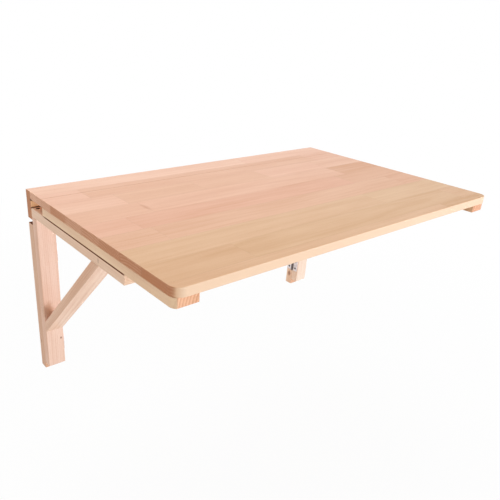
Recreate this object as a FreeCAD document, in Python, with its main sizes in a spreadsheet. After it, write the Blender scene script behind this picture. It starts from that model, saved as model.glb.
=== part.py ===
import FreeCAD, Part
import os
import Sketcher

# Wall-mounted folding desk, in millimetres.
# +X runs along the wall, +Y points into the wall and +Z points up.
# The wall is the plane Y = 0. The origin is the middle of the row of screw holes in the wall rail.

doc = FreeCAD.newDocument("folding_desk")
sheet = doc.addObject("Spreadsheet::Sheet", "sizes")

SIZES = (
    # Whole desk
    ("top_width", 800, "length of the top along the wall"),
    ("top_depth", 500, "wall to front edge of the top"),
    ("desk_height", 400, "top surface to the foot of the wall posts"),
    ("top_level", 36.5, "top surface above the row of rail screws"),
    # Top
    ("top_thick", 16, "thickness of leaf and strip"),
    ("corner_radius", 18, "plan radius of the two front corners"),
    ("edge_round", 1.5, "rounding along the edges of the top"),
    ("fold_depth", 73.5, "wall to fold line"),
    ("fold_gap", 1, "gap between strip and leaf"),
    # Battens under the ends of the leaf
    ("batten_width", 43, "width along the wall"),
    ("batten_thick", 16, "height under the leaf"),
    ("batten_setback", 4, "front end of the batten behind the front edge"),
    ("board_round", 1, "rounding along the edges of every bar"),
    # Wall rail and posts
    ("rail_high", 57, "height of the wall rail"),
    ("rail_thick", 20, "depth of the wall rail"),
    ("post_thick", 20, "depth of a wall post"),
    ("post_gap", 10, "gap between rail and post"),
    # Brackets
    ("bar_width", 37, "width of posts and bracket bars along the wall"),
    ("bar_thick", 18, "thickness of arm and brace"),
    ("stile_thick", 20, "depth of the bracket's upright"),
    ("stile_lift", 15, "foot of the upright above the foot of the post"),
    ("arm_length", 349, "length of the arm"),
    ("brace_reach", 223, "upright to the upper corner of the brace, along the arm and down the upright"),
    ("swing_gap", 0.3, "gap between post and bracket"),
    ("rest_gap", 0.3, "gap between arm and batten"),
    # Hinges between post and bracket
    ("side_hinge_long", 38, "height of a bracket hinge"),
    ("side_hinge_wing", 19, "pin axis to edge of a hinge leaf"),
    ("side_hinge_plate", 1.5, "thickness of a hinge leaf"),
    ("side_hinge_barrel", 2.5, "outer radius of the knuckles"),
    ("side_hinge_pin", 1.25, "radius of the pin"),
    ("side_hinge_pitch", 21, "distance between the screws of one hinge leaf"),
    ("side_hinge_offset", 11.5, "pin axis to the row of screws"),
    ("side_hinge_down", 60, "middle of the upper hinge below the top of the post"),
    ("side_hinge_up", 65, "middle of the lower hinge above the foot of the post"),
    # Hinges under the fold line
    ("fold_hinge_long", 50, "length of a fold hinge"),
    ("fold_hinge_wing", 20, "pin axis to edge of a hinge leaf"),
    ("fold_hinge_plate", 1.5, "thickness of a hinge leaf"),
    ("fold_hinge_barrel", 3, "outer radius of the knuckles"),
    ("fold_hinge_pin", 1.5, "radius of the pin"),
    ("fold_hinge_pitch", 17, "distance between the screws of one hinge leaf"),
    ("fold_hinge_offset", 12, "pin axis to the row of screws"),
    ("fold_hinge_end", 140, "middle of an outer fold hinge to the end of the top"),
    # Both kinds of hinge
    ("hinge_play", 0.05, "radial clearance of a pin in its knuckles"),
    ("knuckle_gap", 0.3, "gap between neighbouring knuckles"),
    ("knuckle_relief", 0.4, "gap between a knuckle and the other leaf"),
    ("pin_head_high", 0.8, "height of a pin's head"),
    ("pin_head_lip", 0.8, "pin head beyond the pin's radius"),
    # Hinge screws
    ("plate_screw_long", 12, "length"),
    ("plate_screw_shank", 1.3, "shank radius"),
    ("plate_screw_head", 2.7, "head radius"),
    ("plate_screw_sink", 1.4, "height of the countersunk head"),
    # Batten screws
    ("batten_screw_long", 26, "length"),
    ("batten_screw_shank", 1.6, "shank radius"),
    ("batten_screw_head", 3.4, "head radius"),
    ("batten_screw_sink", 1.9, "height of the countersunk head"),
    ("batten_screw_end", 23.5, "outer screws of a batten to its ends"),
    # Frame screws
    ("frame_screw_long", 35, "length"),
    ("frame_screw_shank", 1.9, "shank radius"),
    ("frame_screw_head", 3.9, "head radius"),
    ("frame_screw_sink", 2.2, "height of the countersunk head"),
    ("strip_screw_end", 100, "outer screws from rail to strip, to the end of the top"),
    ("brace_screw_inset", 7, "brace screws from the upper corner of the brace"),
    # Every screw
    ("screw_point", 0.3, "radius of the blunt point"),
    ("screw_taper", 3, "length of the tapered point"),
    ("screw_play", 0.1, "gap around a screw in its hole"),
    ("recess_share", 0.62, "width of the cross recess as a share of the head"),
    ("recess_slot", 0.7, "width of one slot of the cross recess"),
    ("recess_deep", 0.9, "depth of the cross recess"),
    # Dowels between rail and strip
    ("dowel_radius", 4, "radius of a dowel"),
    ("dowel_long", 30, "length of a dowel"),
    ("dowel_in_rail", 12, "depth of a dowel in the rail"),
    ("dowel_end", 200, "outer dowels to the end of the top"),
    # Holes for the wall screws
    ("wall_hole", 2.75, "radius of a wall screw hole"),
    ("wall_sink", 5.5, "radius of its countersink"),
    ("wall_sink_deep", 2.75, "depth of its countersink"),
    ("rail_hole_end", 70, "outer holes of the rail to its ends"),
    ("post_hole_end", 25, "hole of a post to its nearer end"),
    # Cuts
    ("overrun", 1, "how far a cut runs past a face"),
)

SNAP = 1e-6  # two places nearer than this are the same
KNUCKLES = 5
FOLD_HINGES = 3
FOLD_SCREWS = 3
BATTEN_SCREWS = 4
STRIP_SCREWS = 4
DOWELS = 3
RAIL_HOLES = 4
SIDES = (("left", -1), ("right", 1))

for row, (alias, value, note) in enumerate(SIZES, 1):
    sheet.set(f"A{row}", alias)
    sheet.set(f"B{row}", str(value))
    sheet.set(f"C{row}", note)
    sheet.setAlias(f"B{row}", alias)
doc.recompute()

# Levels and planes, each as an expression on the sheet
HALF = "(sizes.top_width / 2)"
TOP = "sizes.top_level"
TOP_UNDER = f"({TOP} - sizes.top_thick)"
BATTEN_UNDER = f"({TOP_UNDER} - sizes.batten_thick)"
ARM_TOP = f"({BATTEN_UNDER} - sizes.rest_gap)"
ARM_UNDER = f"({ARM_TOP} - sizes.bar_thick)"
RAIL_UNDER = f"({TOP} - sizes.rail_high)"
POST_TOP = f"({RAIL_UNDER} - sizes.post_gap)"
POST_FOOT = f"({TOP} - sizes.desk_height)"
STILE_FOOT = f"({POST_FOOT} + sizes.stile_lift)"
STILE_BACK = "(-sizes.post_thick - sizes.swing_gap)"
STILE_FRONT = f"({STILE_BACK} - sizes.stile_thick)"
STRIP_FRONT = "(-sizes.fold_depth + sizes.fold_gap / 2)"
LEAF_BACK = "(-sizes.fold_depth - sizes.fold_gap / 2)"
BRACE_CUT = "(sizes.bar_thick * sqrt(2))"
BAR_MIDDLE = f"({HALF} - sizes.bar_width / 2)"

# Pin axes of the hinges
SIDE_AXIS_X = f"({HALF} - sizes.bar_width - sizes.side_hinge_barrel)"
SIDE_AXIS_Y = "(-sizes.post_thick - sizes.swing_gap / 2)"
SIDE_LEVELS = (
    ("upper", f"({POST_TOP} - sizes.side_hinge_down)"),
    ("lower", f"({POST_FOOT} + sizes.side_hinge_up)"),
)
FOLD_AXIS_Y = "(-sizes.fold_depth)"
FOLD_AXIS_Z = f"({TOP_UNDER} - sizes.fold_hinge_barrel)"

X_AXIS = FreeCAD.Vector(1, 0, 0)
Y_AXIS = FreeCAD.Vector(0, 1, 0)
Z_AXIS = FreeCAD.Vector(0, 0, 1)
TURNS = {
    "+x": FreeCAD.Rotation(Y_AXIS, 90),
    "-x": FreeCAD.Rotation(Y_AXIS, -90),
    "+y": FreeCAD.Rotation(X_AXIS, -90),
    "-y": FreeCAD.Rotation(X_AXIS, 90),
    "+z": FreeCAD.Rotation(),
    "-z": FreeCAD.Rotation(X_AXIS, 180),
}
pieces = []


def place(item, x, y, z, turn=None):
    """Put an object at a point given as three expressions."""
    item.Placement = FreeCAD.Placement(FreeCAD.Vector(), turn or FreeCAD.Rotation())
    for letter, amount in zip("xyz", (x, y, z)):
        item.setExpression(f"Placement.Base.{letter}", str(amount))
    return item


def box(name, size, corner):
    item = doc.addObject("Part::Box", name)
    for key, amount in zip(("Length", "Width", "Height"), size):
        item.setExpression(key, amount)
    return place(item, *corner)


def rod(name, radius, height, base, turn=None):
    item = doc.addObject("Part::Cylinder", name)
    item.setExpression("Radius", radius)
    item.setExpression("Height", height)
    return place(item, *base, turn)


def cone(name, low, high, height, base):
    item = doc.addObject("Part::Cone", name)
    item.setExpression("Radius1", low)
    item.setExpression("Radius2", high)
    item.setExpression("Height", height)
    return place(item, *base)


def fuse(name, shapes):
    item = doc.addObject("Part::MultiFuse", name)
    item.Shapes = shapes
    item.Refine = True
    return item


def group(name, members):
    item = doc.addObject("Part::Compound", name)
    item.Links = members
    return item


def cut(name, base, tools):
    item = doc.addObject("Part::Cut", name)
    item.Base = base
    item.Tool = tools[0] if len(tools) == 1 else group(f"{name}_cuts", tools)
    return item


def copy(name, original, x, y, z, turn):
    item = doc.addObject("App::Link", name)
    item.LinkedObject = original
    return place(item, x, y, z, turn)


def piece(name, item):
    """Name one sub-part of the desk."""
    item.Label = name
    pieces.append(item)
    return item


def outline(body, role, corners):
    """Sketch a closed outline whose corners are pairs of expressions."""
    sketch = body.newObject("Sketcher::SketchObject", f"{body.Name}_outline")
    plane = next(item for item in body.Origin.OriginFeatures if item.Role == role)
    sketch.AttachmentSupport = (plane, "")
    sketch.MapMode = "FlatFace"
    count = len(corners)
    start = [FreeCAD.Rotation(Z_AXIS, 360 * i / count).multVec(X_AXIS) for i in range(count)]
    for i in range(count):
        sketch.addGeometry(Part.LineSegment(start[i], start[(i + 1) % count]), False)
    for i in range(count):
        sketch.addConstraint(Sketcher.Constraint("Coincident", i, 2, (i + 1) % count, 1))
    for i, corner in enumerate(corners):
        for letter, amount, first in zip("XY", corner, start[i]):
            number = sketch.addConstraint(Sketcher.Constraint(f"Distance{letter}", -1, 1, i, 1, first))
            sketch.renameConstraint(number, f"{letter.lower()}_{i}")
            sketch.setExpression(f"Constraints.{letter.lower()}_{i}", amount)
    return sketch


def pad(body, sketch, length):
    feature = body.newObject("PartDesign::Pad", f"{body.Name}_pad")
    feature.Profile = sketch
    feature.setExpression("Length", length)
    doc.recompute()
    return feature


def round_edges(body, feature, radius, wanted):
    """Round the edges of a feature that the test picks by their middle and direction."""
    names = []
    for number, edge in enumerate(feature.Shape.Edges, 1):
        if wanted(edge.CenterOfMass, edge.tangentAt(edge.FirstParameter)):
            names.append(f"Edge{number}")
    fillet = body.newObject("PartDesign::Fillet", f"{body.Name}_round_{len(body.Group)}")
    fillet.Base = (feature, names)
    fillet.setExpression("Radius", radius)
    doc.recompute()
    return fillet


def board(name, size, corner, radius, wanted):
    """A straight board with rounded edges, its lowest corner at the given point."""
    body = doc.addObject("PartDesign::Body", name)
    long, deep, high = size
    sketch = outline(body, "XY_Plane", (("0", "0"), (long, "0"), (long, deep), ("0", deep)))
    blank = pad(body, sketch, high)
    round_edges(body, blank, radius, wanted)
    return place(body, *corner)


def runs(share):
    """True where an edge runs along the axis of which its direction has this share."""
    return abs(share) > 0.5


def every_edge(middle, way):
    return True


def front_corner(middle, way):
    return runs(way.z) and middle.y < SNAP


# Screws: the head's face is at the origin and the shank runs down.

def screw(kind):
    long, shank, head, sink = (f"sizes.{kind}_screw_{word}" for word in ("long", "shank", "head", "sink"))
    below = f"({long} - sizes.screw_taper)"
    solid = fuse(f"{kind}_screw_solid", [
        cone(f"{kind}_screw_cone", shank, head, sink, ("0", "0", f"-{sink}")),
        rod(f"{kind}_screw_rod", shank, f"{below} - {sink}", ("0", "0", f"-{below}")),
        cone(f"{kind}_screw_tip", "sizes.screw_point", shank, "sizes.screw_taper", ("0", "0", f"-{long}")),
    ])
    wide = f"(2 * {head} * sizes.recess_share)"
    slots = []
    for number, (along, across) in enumerate(((wide, "sizes.recess_slot"), ("sizes.recess_slot", wide))):
        corner = (f"-{along} / 2", f"-{across} / 2", "-sizes.recess_deep")
        size = (along, across, "sizes.recess_deep + sizes.overrun")
        slots.append(box(f"{kind}_screw_slot_{number}", size, corner))
    return cut(f"{kind}_screw", solid, slots)


def screw_hole(kind):
    long, shank, head, sink = (f"sizes.{kind}_screw_{word}" for word in ("long", "shank", "head", "sink"))
    mouth = f"({head} + sizes.screw_play)"
    return fuse(f"{kind}_hole", [
        rod(f"{kind}_hole_mouth", mouth, "sizes.overrun", ("0", "0", "0")),
        cone(f"{kind}_hole_cone", f"{shank} + sizes.screw_play", mouth, sink, ("0", "0", f"-{sink}")),
        rod(f"{kind}_hole_rod", f"{shank} + sizes.screw_play", f"{long} + sizes.screw_play - {sink}",
            ("0", "0", f"-{long} - sizes.screw_play")),
    ])


screws = {kind: screw(kind) for kind in ("plate", "batten", "frame")}
holes = {kind: screw_hole(kind) for kind in screws}


def fasten(name, kind, places):
    """Screws of one kind at places (x, y, z, side their heads face), and the holes that they need."""
    solids = []
    cuts = []
    for number, (x, y, z, facing) in enumerate(places):
        solids.append(copy(f"{name}_{number}", screws[kind], x, y, z, TURNS[facing]))
        cuts.append(copy(f"{name}_hole_{number}", holes[kind], x, y, z, TURNS[facing]))
    return group(name, solids), cuts


def spaced(count, pitch):
    """Expressions for a centred row of places."""
    return [f"({2 * i - count + 1} * {pitch} / 2)" for i in range(count)]


def spread(count, length, inset):
    """Expressions for a centred row whose outer places lie an inset from the ends of a length."""
    return spaced(count, f"({length} - 2 * {inset}) / {count - 1}")


# Hinges: pin along Z through the origin, the first leaf towards +Y, the second towards -Y,
# both with their seats in the plane X = -barrel radius.

def hinge_leaf(kind, which):
    words = ("long", "wing", "plate", "barrel", "pin")
    long, wing, plate, barrel, pin = (f"sizes.{kind}_hinge_{word}" for word in words)
    start = "0" if which == "first" else f"-{wing}"
    knuckle = f"({long} / {KNUCKLES})"
    near = f"({barrel} + sizes.knuckle_relief)"
    blank = fuse(f"{kind}_{which}_blank", [
        box(f"{kind}_{which}_plate", (plate, wing, long), (f"-{barrel}", start, f"-{long} / 2")),
        rod(f"{kind}_{which}_barrel", barrel, long, ("0", "0", f"-{long} / 2")),
    ])
    tools = [rod(f"{kind}_{which}_bore", f"{pin} + sizes.hinge_play", f"{long} + 2 * sizes.overrun",
                 ("0", "0", f"-{long} / 2 - sizes.overrun"))]
    for number in range(KNUCKLES):
        if (number % 2 == 0) == (which == "first"):
            continue
        size = (f"2 * {near}", f"2 * {near}", f"{knuckle} + sizes.knuckle_gap")
        low = f"-{long} / 2 + {number} * {knuckle} - sizes.knuckle_gap / 2"
        tools.append(box(f"{kind}_{which}_gap_{number}", size, (f"-{near}", f"-{near}", low)))
    return cut(f"{kind}_{which}_leaf", blank, tools)


def hinge_pin(kind):
    long, pin = f"sizes.{kind}_hinge_long", f"sizes.{kind}_hinge_pin"
    seat = f"({long} / 2 + sizes.hinge_play)"
    head = f"({pin} + sizes.pin_head_lip)"
    return fuse(f"{kind}_pin", [
        rod(f"{kind}_pin_rod", pin, f"2 * {seat}", ("0", "0", f"-{seat}")),
        cone(f"{kind}_pin_head", head, pin, "sizes.pin_head_high", ("0", "0", seat)),
        cone(f"{kind}_pin_foot", pin, head, "sizes.pin_head_high",
             ("0", "0", f"-{seat} - sizes.pin_head_high")),
    ])


hinge_parts = {}
for kind in ("side", "fold"):
    hinge_parts[kind] = (hinge_leaf(kind, "first"), hinge_leaf(kind, "second"), hinge_pin(kind))


def hinge(names, kind, x, y, z, turn, first_cuts, second_cuts):
    """One hinge at its place, with the holes for its screws."""
    forms = zip(names, hinge_parts[kind])
    first, second, pin = (copy(f"{name}_form", part, x, y, z, turn) for name, part in forms)
    piece(names[0], cut(names[0], first, first_cuts))
    piece(names[1], cut(names[1], second, second_cuts))
    piece(names[2], group(names[2], [pin]))


def wall_hole(name, x, y, z):
    """A countersunk hole for a wall screw through a board whose front face is at y."""
    through = rod(f"{name}_through", "sizes.wall_hole", f"-{y} + 2 * sizes.overrun",
                  (x, f"{y} - sizes.overrun", z), TURNS["+y"])
    sink = doc.addObject("Part::Cone", f"{name}_sink")
    sink.setExpression("Radius1", "sizes.wall_sink")
    sink.setExpression("Radius2", "sizes.wall_hole")
    sink.setExpression("Height", "sizes.wall_sink_deep")
    place(sink, x, y, z, TURNS["+y"])
    return fuse(name, [through, sink])


# Top: the strip on the wall rail and the leaf that folds along its front edge

strip_screw_places = []
for x in spread(STRIP_SCREWS, "sizes.top_width", "sizes.strip_screw_end"):
    strip_screw_places.append((x, "0", f"{TOP} - sizes.top_thick / 2", "+y"))
strip_screws, strip_screw_cuts = fasten("strip_screws", "frame", strip_screw_places)
piece("strip_screws", strip_screws)

dowels = []
for number, x in enumerate(spread(DOWELS, "sizes.top_width", "sizes.dowel_end")):
    back = "-sizes.rail_thick + sizes.dowel_in_rail"
    dowels.append(rod(f"dowel_{number}", "sizes.dowel_radius", "sizes.dowel_long",
                      (x, back, f"{TOP} - sizes.top_thick / 2"), TURNS["-y"]))
piece("strip_dowels", group("strip_dowels", dowels))

fold_hinge_middles = spread(FOLD_HINGES, "sizes.top_width", "sizes.fold_hinge_end")
fold_first_places = []
fold_second_places = []
for x in fold_hinge_middles:
    for shift in spaced(FOLD_SCREWS, "sizes.fold_hinge_pitch"):
        level = f"{TOP_UNDER} - sizes.fold_hinge_plate"
        fold_first_places.append((f"{x} + {shift}", f"{FOLD_AXIS_Y} + sizes.fold_hinge_offset", level, "-z"))
        fold_second_places.append((f"{x} + {shift}", f"{FOLD_AXIS_Y} - sizes.fold_hinge_offset", level, "-z"))
fold_first_screws, fold_first_cuts = fasten("fold_hinge_screws_strip", "plate", fold_first_places)
fold_second_screws, fold_second_cuts = fasten("fold_hinge_screws_leaf", "plate", fold_second_places)
piece("fold_hinge_screws_strip", fold_first_screws)
piece("fold_hinge_screws_leaf", fold_second_screws)

for number, x in enumerate(fold_hinge_middles):
    own = slice(number * FOLD_SCREWS, (number + 1) * FOLD_SCREWS)
    names = [f"fold_hinge_{number + 1}_{word}" for word in ("strip_wing", "leaf_wing", "pin")]
    hinge(names, "fold", x, FOLD_AXIS_Y, FOLD_AXIS_Z, TURNS["+x"],
          fold_first_cuts[own], fold_second_cuts[own])

rail = board("rail_blank", ("sizes.top_width", "sizes.rail_thick", "sizes.rail_high"),
             (f"-{HALF}", "-sizes.rail_thick", RAIL_UNDER), "sizes.board_round",
             lambda middle, way: not (middle.y < SNAP and middle.z > SNAP and runs(way.x)))
rail_holes = []
for number, x in enumerate(spread(RAIL_HOLES, "sizes.top_width", "sizes.rail_hole_end")):
    rail_holes.append(wall_hole(f"rail_hole_{number}", x, "-sizes.rail_thick", "0"))
piece("wall_rail", cut("wall_rail", rail, rail_holes + strip_screw_cuts + dowels))

strip_deep = f"(-sizes.rail_thick - {STRIP_FRONT})"
strip = board("strip_blank", ("sizes.top_width", strip_deep, "sizes.top_thick"),
              (f"-{HALF}", STRIP_FRONT, TOP_UNDER), "sizes.edge_round", lambda middle, way: runs(way.y))
piece("fixed_strip", cut("fixed_strip", strip, strip_screw_cuts + dowels + fold_first_cuts))

leaf = doc.addObject("PartDesign::Body", "leaf_blank")
leaf_deep = f"(sizes.top_depth + {LEAF_BACK})"
leaf_corners = (("0", "0"), ("sizes.top_width", "0"), ("sizes.top_width", leaf_deep), ("0", leaf_deep))
leaf_pad = pad(leaf, outline(leaf, "XY_Plane", leaf_corners), "sizes.top_thick")
leaf_cornered = round_edges(leaf, leaf_pad, "sizes.corner_radius", front_corner)
leaf_end = leaf_cornered.Shape.BoundBox.YMax
round_edges(leaf, leaf_cornered, "sizes.edge_round",
            lambda middle, way: not runs(way.z) and middle.y < leaf_end - SNAP)
place(leaf, f"-{HALF}", "-sizes.top_depth", TOP_UNDER)

# Battens: cut off flush with the rounded corners of the leaf

batten_long = f"({leaf_deep} - sizes.batten_setback)"
batten_middle = f"({LEAF_BACK} - {batten_long} / 2)"
batten_places = []
for side, sign in SIDES:
    x = f"{sign} * ({HALF} - sizes.batten_width / 2)"
    for shift in spread(BATTEN_SCREWS, batten_long, "sizes.batten_screw_end"):
        batten_places.append((x, f"{batten_middle} + {shift}", BATTEN_UNDER, "-z"))
batten_screws, batten_cuts = fasten("batten_screws", "batten", batten_places)
piece("batten_screws", batten_screws)
piece("top_leaf", cut("top_leaf", leaf, fold_second_cuts + batten_cuts))

plan = doc.addObject("PartDesign::Body", "leaf_plan")
plan_pad = pad(plan, outline(plan, "XY_Plane", leaf_corners), "sizes.batten_thick")
round_edges(plan, plan_pad, "sizes.corner_radius", front_corner)
place(plan, f"-{HALF}", "-sizes.top_depth", BATTEN_UNDER)

for number, (side, sign) in enumerate(SIDES):
    corner_x = f"-{HALF}" if sign < 0 else f"{HALF} - sizes.batten_width"
    corner = (corner_x, f"{LEAF_BACK} - {batten_long}", BATTEN_UNDER)
    trimmed = doc.addObject("Part::Common", f"batten_{side}_trimmed")
    trimmed.Base = board(f"batten_{side}_blank", ("sizes.batten_width", batten_long, "sizes.batten_thick"),
                         corner, "sizes.board_round", every_edge)
    trimmed.Tool = plan
    own = slice(number * BATTEN_SCREWS, (number + 1) * BATTEN_SCREWS)
    piece(f"batten_{side}", cut(f"batten_{side}", trimmed, batten_cuts[own]))

# Wall posts and the two brackets that swing on them

for side, sign in SIDES:
    bar_x = f"-{HALF}" if sign < 0 else f"{HALF} - sizes.bar_width"
    bar_middle = f"{sign} * {BAR_MIDDLE}"
    axis_x = f"{sign} * {SIDE_AXIS_X}"
    head_x = f"{axis_x} + {sign} * (sizes.side_hinge_barrel - sizes.side_hinge_plate)"
    facing = "+x" if sign < 0 else "-x"
    turn = FreeCAD.Rotation() if sign < 0 else FreeCAD.Rotation(Y_AXIS, 180)

    post_spots = []
    stile_spots = []
    for level, z in SIDE_LEVELS:
        for shift in spaced(2, "sizes.side_hinge_pitch"):
            post_spots.append((head_x, f"{SIDE_AXIS_Y} + sizes.side_hinge_offset", f"{z} + {shift}", facing))
            stile_spots.append((head_x, f"{SIDE_AXIS_Y} - sizes.side_hinge_offset", f"{z} + {shift}", facing))
    post_screws, post_cuts = fasten(f"post_{side}_hinge_screws", "plate", post_spots)
    stile_screws, stile_cuts = fasten(f"bracket_{side}_hinge_screws", "plate", stile_spots)
    piece(f"post_{side}_hinge_screws", post_screws)
    piece(f"bracket_{side}_hinge_screws", stile_screws)
    for number, (level, z) in enumerate(SIDE_LEVELS):
        pair = slice(2 * number, 2 * number + 2)
        names = [f"side_hinge_{side}_{level}_{word}" for word in ("post_wing", "bracket_wing", "pin")]
        hinge(names, "side", axis_x, SIDE_AXIS_Y, z, turn, post_cuts[pair], stile_cuts[pair])

    post_high = f"({POST_TOP} - {POST_FOOT})"
    post = board(f"post_{side}_blank", ("sizes.bar_width", "sizes.post_thick", post_high),
                 (bar_x, "-sizes.post_thick", POST_FOOT), "sizes.board_round", every_edge)
    post_holes = []
    for z in (f"{POST_TOP} - sizes.post_hole_end", f"{POST_FOOT} + sizes.post_hole_end"):
        name = f"post_{side}_hole_{len(post_holes)}"
        post_holes.append(wall_hole(name, bar_middle, "-sizes.post_thick", z))
    piece(f"wall_post_{side}", cut(f"wall_post_{side}", post, post_holes + post_cuts))

    brace_head_y = f"{STILE_FRONT} - sizes.brace_reach"
    brace_foot_z = f"{ARM_UNDER} - sizes.brace_reach"
    joint_spots = []
    for shift in spaced(2, "sizes.bar_width / 2"):
        across = f"{bar_middle} + {shift}"
        joint_spots.append((across, f"({STILE_BACK} + {STILE_FRONT}) / 2", ARM_TOP, "+z"))
        joint_spots.append((across, f"{brace_head_y} - sizes.brace_screw_inset", ARM_TOP, "+z"))
        joint_spots.append((across, STILE_BACK, f"{brace_foot_z} - sizes.brace_screw_inset", "+y"))
    joint_screws, joint_cuts = fasten(f"bracket_{side}_screws", "frame", joint_spots)
    piece(f"bracket_{side}_screws", joint_screws)

    stile_high = f"({ARM_UNDER} - {STILE_FOOT})"
    stile = board(f"stile_{side}_blank", ("sizes.bar_width", "sizes.stile_thick", stile_high),
                  (bar_x, STILE_FRONT, STILE_FOOT), "sizes.board_round", every_edge)
    piece(f"bracket_{side}_stile", cut(f"bracket_{side}_stile", stile, joint_cuts + stile_cuts))
    arm = board(f"arm_{side}_blank", ("sizes.bar_width", "sizes.arm_length", "sizes.bar_thick"),
                (bar_x, f"{STILE_BACK} - sizes.arm_length", ARM_UNDER), "sizes.board_round", every_edge)
    piece(f"bracket_{side}_arm", cut(f"bracket_{side}_arm", arm, joint_cuts))

    brace = doc.addObject("PartDesign::Body", f"brace_{side}_blank")
    brace_corners = (
        (STILE_FRONT, brace_foot_z),
        (brace_head_y, ARM_UNDER),
        (f"{brace_head_y} - {BRACE_CUT}", ARM_UNDER),
        (STILE_FRONT, f"{brace_foot_z} - {BRACE_CUT}"),
    )
    brace_pad = pad(brace, outline(brace, "YZ_Plane", brace_corners), "sizes.bar_width")
    round_edges(brace, brace_pad, "sizes.board_round",
                lambda middle, way: abs(way.y) > SNAP and abs(way.z) > SNAP)
    place(brace, bar_x, "0", "0")
    piece(f"bracket_{side}_brace", cut(f"bracket_{side}_brace", brace, joint_cuts))

doc.recompute()

for item in doc.Objects:
    if "Invalid" in item.State or "Error" in item.State:
        raise RuntimeError(f"{item.Label} did not build")
for item in pieces:
    if item.Shape.isNull() or not item.Shape.isValid() or not item.Shape.Solids:
        raise RuntimeError(f"{item.Label} is not a sound solid")

os.makedirs("parts", exist_ok=True)
for item in pieces:
    item.Shape.exportStep(f"parts/{item.Label}.step")
    print(item.Label, len(item.Shape.Solids), round(item.Shape.Volume, 1))
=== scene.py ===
import bpy
import bmesh
import math
from mathutils import Euler, Matrix, Vector


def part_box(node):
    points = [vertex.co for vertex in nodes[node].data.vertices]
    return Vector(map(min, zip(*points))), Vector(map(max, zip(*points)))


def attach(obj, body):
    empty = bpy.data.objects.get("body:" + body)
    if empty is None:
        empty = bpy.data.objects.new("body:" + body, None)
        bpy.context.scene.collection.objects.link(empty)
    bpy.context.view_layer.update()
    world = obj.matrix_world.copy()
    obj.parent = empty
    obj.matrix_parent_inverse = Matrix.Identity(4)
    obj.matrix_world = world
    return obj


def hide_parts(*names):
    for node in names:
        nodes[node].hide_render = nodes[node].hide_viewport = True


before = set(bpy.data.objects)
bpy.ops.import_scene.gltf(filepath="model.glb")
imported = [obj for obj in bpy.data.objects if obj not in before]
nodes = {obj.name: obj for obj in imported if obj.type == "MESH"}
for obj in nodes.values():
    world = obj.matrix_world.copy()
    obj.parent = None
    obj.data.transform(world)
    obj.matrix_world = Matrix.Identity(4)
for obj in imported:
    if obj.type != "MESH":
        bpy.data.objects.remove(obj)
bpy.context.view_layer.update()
print("frame loaded:", len(nodes), "pieces")


# Colours and node helpers

def paint(red, green, blue):  # screen colour, 0 to 255, as the linear colour that a shader takes
    channels = []
    for value in (red, green, blue):
        share = value / 255
        channels.append(share / 12.92 if share <= 0.04045 else ((share + 0.055) / 1.055) ** 2.4)
    return (*channels, 1)


def blendPaint(share, first, second):
    return tuple(a + (b - a) * share for a, b in zip(first, second))


def fillSockets(tree, made, sockets):  # a socket as value is linked, anything else is set
    for key, value in sockets.items():
        if isinstance(value, bpy.types.NodeSocket):
            tree.links.new(value, made.inputs[key])
        else:
            made.inputs[key].default_value = value


def addNode(tree, kind, sockets, **settings):
    made = tree.nodes.new(kind)
    for name, value in settings.items():
        setattr(made, name, value)
    fillSockets(tree, made, sockets)
    return made


def calc(tree, operation, *values):
    return addNode(tree, "ShaderNodeMath", dict(enumerate(values)), operation=operation).outputs[0]


def vectorCalc(tree, operation, *values):
    return addNode(tree, "ShaderNodeVectorMath", dict(enumerate(values)), operation=operation).outputs[0]


def vectorLength(tree, vector):
    return addNode(tree, "ShaderNodeVectorMath", {0: vector}, operation="LENGTH").outputs["Value"]


def split(tree, vector):
    return addNode(tree, "ShaderNodeSeparateXYZ", {0: vector}).outputs


def join(tree, x, y, z=0):
    return addNode(tree, "ShaderNodeCombineXYZ", {0: x, 1: y, 2: z}).outputs[0]


def clamp(tree, value):
    return addNode(tree, "ShaderNodeClamp", {0: value}).outputs[0]


def fade(tree, value, start, end, low=0, high=1):  # smooth step from low at start to high at end
    made = addNode(tree, "ShaderNodeMapRange", {0: value, 1: start, 2: end, 3: low, 4: high},
                   interpolation_type="SMOOTHSTEP")
    return made.outputs[0]


def mixColour(tree, share, first, second, blend="MIX"):
    made = addNode(tree, "ShaderNodeMix", {0: share, 6: first, 7: second}, data_type="RGBA", blend_type=blend)
    return made.outputs[2]


def noise(tree, place, scale, detail=2, roughness=0.5):
    sockets = {"Vector": place, "Scale": scale, "Detail": detail, "Roughness": roughness}
    return addNode(tree, "ShaderNodeTexNoise", sockets).outputs["Fac"]


def stretchedNoise(tree, place, scale, detail=2, roughness=0.5):  # cycles per metre along X, Y and Z
    return noise(tree, vectorCalc(tree, "MULTIPLY", place, scale), 1, detail, roughness)


def newGroup(name, inputs, outputs):
    tree = bpy.data.node_groups.new(name, "ShaderNodeTree")
    for label, kind, value in inputs:
        socket = tree.interface.new_socket(label, in_out="INPUT", socket_type="NodeSocket" + kind)
        socket.default_value = value
    for label, kind in outputs:
        tree.interface.new_socket(label, in_out="OUTPUT", socket_type="NodeSocket" + kind)
    return tree, tree.nodes.new("NodeGroupInput").outputs, tree.nodes.new("NodeGroupOutput").inputs


def placeGroup(tree, group, sockets):
    made = tree.nodes.new("ShaderNodeGroup")
    made.node_tree = group
    fillSockets(tree, made, sockets)
    return made.outputs


# Shared effects

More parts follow.
